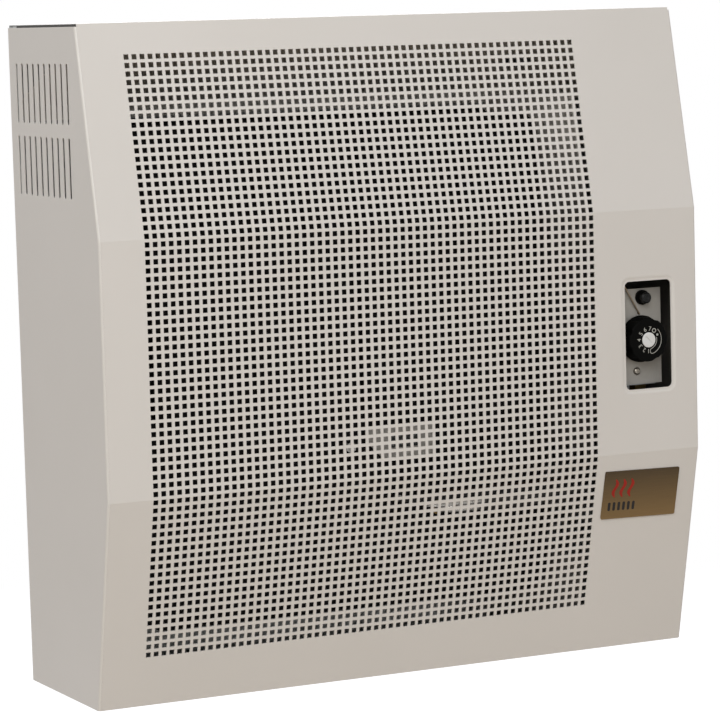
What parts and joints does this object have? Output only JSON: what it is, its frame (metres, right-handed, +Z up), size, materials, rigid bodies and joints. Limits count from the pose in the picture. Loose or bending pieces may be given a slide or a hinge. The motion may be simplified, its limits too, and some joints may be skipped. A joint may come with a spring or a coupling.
{
  "type": "wall mounted gas heater",
  "caption": "Bow-fronted gas room heater in a perforated steel casing, with a push-in turning gas knob, a push igniter and a balanced flue through the wall.",
  "frame": {"origin": "on the wall's face, at the middle of the casing's width and level with its lower edge", "axes": "+X to the right of someone facing the heater, +Y into the wall, +Z up"},
  "size_m": [0.64, 0.2171, 0.643],
  "materials": {
    "enamel_cream": "warm off-white powder coat, semi-gloss",
    "enamel_black": "black heat-resistant enamel, matt",
    "zinc_steel": "galvanised sheet steel",
    "bright_steel": "bright plated steel",
    "black_plastic": "moulded black plastic",
    "pale_plastic": "moulded pale grey plastic",
    "cast_aluminium": "die-cast aluminium",
    "brass": "turned brass",
    "copper": "drawn copper",
    "badge_metal": "brushed brown-gold",
    "glass": "heat-resistant glass",
    "fibre": "pressed mineral fibre gasket",
    "rubber": "silicone rubber",
    "ceramic": "glazed ceramic"
  },
  "bodies": {
    "heater": {"front_panel": "enamel_cream", "side_panel_left": "enamel_cream", "side_panel_right": "enamel_cream", "top_panel": "enamel_cream", "base_tray": "zinc_steel", "back_frame": "zinc_steel", "badge": "badge_metal", "control_plate": "zinc_steel", "gas_valve": "cast_aluminium", "valve_bracket": "zinc_steel", "igniter_body": "black_plastic", "igniter_nut": "zinc_steel", "heat_exchanger": "enamel_black", "exchanger_back": "enamel_black", "duct_flange": "zinc_steel", "exchanger_brackets": "zinc_steel", "air_channel": "zinc_steel", "duct_gasket": "fibre", "air_collar": "zinc_steel", "flue_collar": "zinc_steel", "sight_frame": "bright_steel", "sight_glass": "glass", "burner_door": "enamel_black", "door_gasket": "fibre", "main_burner": "zinc_steel", "burner_injector": "brass", "pilot_burner": "zinc_steel", "spark_electrode": "ceramic", "thermocouple": "copper", "burner_pipe": "bright_steel", "pilot_pipe": "bright_steel", "thermocouple_lead": "copper", "ignition_lead": "rubber", "sensor_capillary": "copper", "sensor_bulb": "copper", "bulb_clips": "zinc_steel", "gas_inlet": "brass", "inlet_pipe": "zinc_steel", "union_nuts": "brass", "air_deflector": "zinc_steel", "heat_shield": "zinc_steel", "casing_screws": "zinc_steel", "bracket_screws": "zinc_steel", "door_screws": "bright_steel", "sight_nuts": "bright_steel", "duct_bolts": "zinc_steel", "plate_screw": "bright_steel"},
    "bush": {"valve_bush": "brass"},
    "knob": {"control_knob": "black_plastic", "knob_cap": "pale_plastic", "valve_spindle": "bright_steel"},
    "igniter": {"igniter_button": "black_plastic"}
  },
  "joints": [
    {"name": "knob_turn", "type": "hinge", "parent": "heater", "child": "bush", "pos_m": [0.264, -0.2, 0.314], "axis": [0, -1, 0], "range_deg": [0, 340]},
    {"name": "knob_push", "type": "slide", "parent": "bush", "child": "knob", "axis": [0, 1, 0], "range_m": [0, 0.004], "stiffness_N_per_m": 1500},
    {"name": "igniter_push", "type": "slide", "parent": "heater", "child": "igniter", "axis": [0, 1, 0], "range_m": [0, 0.007], "stiffness_N_per_m": 3000}
  ]
}
